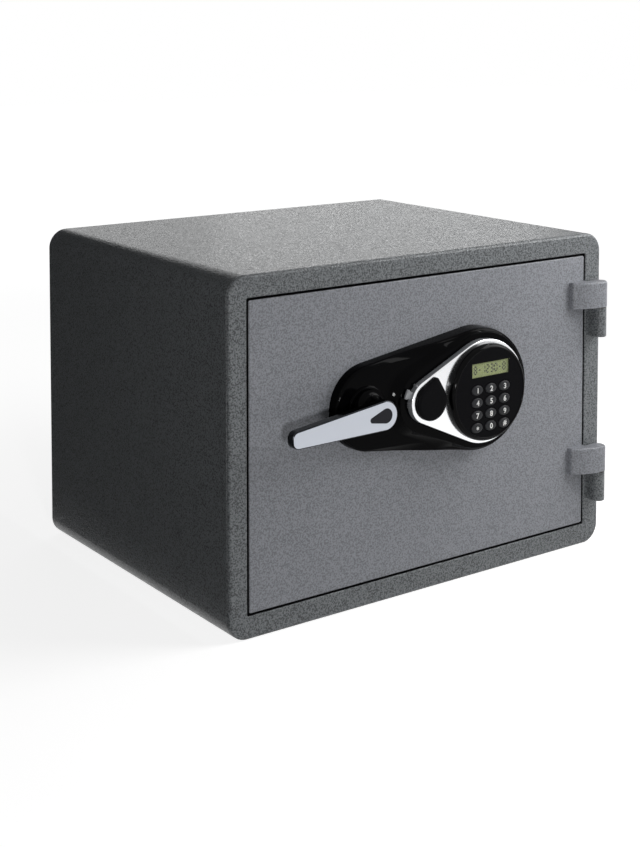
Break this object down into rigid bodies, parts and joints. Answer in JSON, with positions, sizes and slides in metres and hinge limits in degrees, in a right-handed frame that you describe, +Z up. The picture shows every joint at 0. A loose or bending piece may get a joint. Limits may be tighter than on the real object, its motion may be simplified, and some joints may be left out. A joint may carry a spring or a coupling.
{
  "type": "fireproof safe",
  "caption": "Box safe with a rounded steel body, a stepped fire door on outside hinges, and an electronic keypad lock with a lever handle that throws side bolts.",
  "frame": {"origin": "on the floor, at the centre of the body's footprint", "axes": "+X to the hinge side, +Y to the back, +Z up; the door faces -Y"},
  "size_m": [0.412, 0.3512, 0.293],
  "materials": {
    "body_paint": "hammered stove enamel, dark grey",
    "door_paint": "hammered stove enamel, blue grey",
    "chrome": "polished plating",
    "black_gloss": "gloss moulding",
    "black_satin": "satin moulding",
    "key_plastic": "satin moulding",
    "window": "clear window",
    "display": "reflective display",
    "fire_filling": "cast, rough",
    "liner_plastic": "grained moulding",
    "shelf_paint": "smooth paint",
    "zinc_steel": "zinc plated",
    "bolt_steel": "ground and plated",
    "brass": "turned",
    "seal_strip": "matt",
    "circuit_board": "lacquered",
    "cell_wrap": "plain wrap",
    "cable_sheath": "smooth"
  },
  "bodies": {
    "cabinet": {"outer_shell": "body_paint", "front_frame": "body_paint", "back_panel": "body_paint", "inner_liner": "liner_plastic", "strike_plate": "zinc_steel", "body_filling": "fire_filling", "shelf": "shelf_paint", "shelf_ledges": "shelf_paint", "body_hinge_barrels": "body_paint", "hinge_pins": "zinc_steel", "hinge_washers": "brass"},
    "door": {"door_hinge_blocks": "door_paint", "door_skin": "door_paint", "door_plug": "shelf_paint", "door_filling": "fire_filling", "door_seal": "seal_strip", "lock_plate": "zinc_steel", "hinge_dogs": "bolt_steel", "cover_screws": "zinc_steel", "inner_cover": "liner_plastic", "batteries": "cell_wrap", "control_board": "circuit_board", "keypad_cable": "cable_sheath", "lock_panel": "black_gloss", "lock_trim": "chrome", "keypad_bezel": "black_gloss", "keypad_face": "black_satin", "lcd_window": "window", "lcd_module": "display", "keypad_board": "circuit_board", "key_mat": "seal_strip", "cover_pivot": "zinc_steel", "key_cylinder": "brass", "spindle_bush": "brass", "bolt_guides": "zinc_steel", "lock_magnet": "zinc_steel"},
    "handle": {"handle_arm": "chrome", "handle_inlay": "black_satin", "handle_neck": "black_gloss", "spindle": "zinc_steel", "cam_disc": "zinc_steel"},
    "bolt_work": {"bolt_carriage": "zinc_steel", "follower_pin": "zinc_steel", "locking_bolts": "bolt_steel"},
    "plunger": {"lock_plunger": "bolt_steel"},
    "key_plug": {"key_plug": "brass"},
    "key_cover": {"key_cover": "black_gloss"},
    "battery_lid": {"battery_lid": "liner_plastic"},
    "key_1": {"key_1": "key_plastic"},
    "key_2": {"key_2": "key_plastic"},
    "key_3": {"key_3": "key_plastic"},
    "key_4": {"key_4": "key_plastic"},
    "key_5": {"key_5": "key_plastic"},
    "key_6": {"key_6": "key_plastic"},
    "key_7": {"key_7": "key_plastic"},
    "key_8": {"key_8": "key_plastic"},
    "key_9": {"key_9": "key_plastic"},
    "key_0": {"key_0": "key_plastic"},
    "key_star": {"key_star": "key_plastic"},
    "key_hash": {"key_hash": "key_plastic"}
  },
  "joints": [
    {"name": "door_hinge", "type": "hinge", "parent": "cabinet", "child": "door", "pos_m": [0.197, -0.166, 0.148], "axis": [0, 0, 1], "range_deg": [0, 180]},
    {"name": "handle_turn", "type": "hinge", "parent": "door", "child": "handle", "pos_m": [-0.078, -0.1875, 0.1715], "axis": [0, 1, 0], "range_deg": [0, 90]},
    {"name": "bolt_throw", "type": "slide", "parent": "door", "child": "bolt_work", "axis": [-1, 0, 0], "range_m": [0, 0.02]},
    {"name": "plunger_rise", "type": "slide", "parent": "door", "child": "plunger", "axis": [0, 0, 1], "range_m": [0, 0.005]},
    {"name": "key_plug_turn", "type": "hinge", "parent": "door", "child": "key_plug", "pos_m": [-0.021, -0.1575, 0.1715], "axis": [0, 1, 0], "range_deg": [0, 90]},
    {"name": "key_cover_swing", "type": "hinge", "parent": "door", "child": "key_cover", "pos_m": [-0.0148, -0.182, 0.1886], "axis": [0, 1, 0], "range_deg": [0, 95]},
    {"name": "battery_lid_slide", "type": "slide", "parent": "door", "child": "battery_lid", "axis": [0, 0, 1], "range_m": [0, 0.06]},
    {"name": "key_1_press", "type": "slide", "parent": "door", "child": "key_1", "axis": [0, 1, 0], "range_m": [0, 0.0008], "stiffness_N_per_m": 400},
    {"name": "key_2_press", "type": "slide", "parent": "door", "child": "key_2", "axis": [0, 1, 0], "range_m": [0, 0.0008], "stiffness_N_per_m": 400},
    {"name": "key_3_press", "type": "slide", "parent": "door", "child": "key_3", "axis": [0, 1, 0], "range_m": [0, 0.0008], "stiffness_N_per_m": 400},
    {"name": "key_4_press", "type": "slide", "parent": "door", "child": "key_4", "axis": [0, 1, 0], "range_m": [0, 0.0008], "stiffness_N_per_m": 400},
    {"name": "key_5_press", "type": "slide", "parent": "door", "child": "key_5", "axis": [0, 1, 0], "range_m": [0, 0.0008], "stiffness_N_per_m": 400},
    {"name": "key_6_press", "type": "slide", "parent": "door", "child": "key_6", "axis": [0, 1, 0], "range_m": [0, 0.0008], "stiffness_N_per_m": 400},
    {"name": "key_7_press", "type": "slide", "parent": "door", "child": "key_7", "axis": [0, 1, 0], "range_m": [0, 0.0008], "stiffness_N_per_m": 400},
    {"name": "key_8_press", "type": "slide", "parent": "door", "child": "key_8", "axis": [0, 1, 0], "range_m": [0, 0.0008], "stiffness_N_per_m": 400},
    {"name": "key_9_press", "type": "slide", "parent": "door", "child": "key_9", "axis": [0, 1, 0], "range_m": [0, 0.0008], "stiffness_N_per_m": 400},
    {"name": "key_0_press", "type": "slide", "parent": "door", "child": "key_0", "axis": [0, 1, 0], "range_m": [0, 0.0008], "stiffness_N_per_m": 400},
    {"name": "key_star_press", "type": "slide", "parent": "door", "child": "key_star", "axis": [0, 1, 0], "range_m": [0, 0.0008], "stiffness_N_per_m": 400},
    {"name": "key_hash_press", "type": "slide", "parent": "door", "child": "key_hash", "axis": [0, 1, 0], "range_m": [0, 0.0008], "stiffness_N_per_m": 400}
  ],
  "couplings": [
    {"joint": "bolt_throw", "follows": "handle_turn", "m_per_rad": 0.012732}
  ]
}
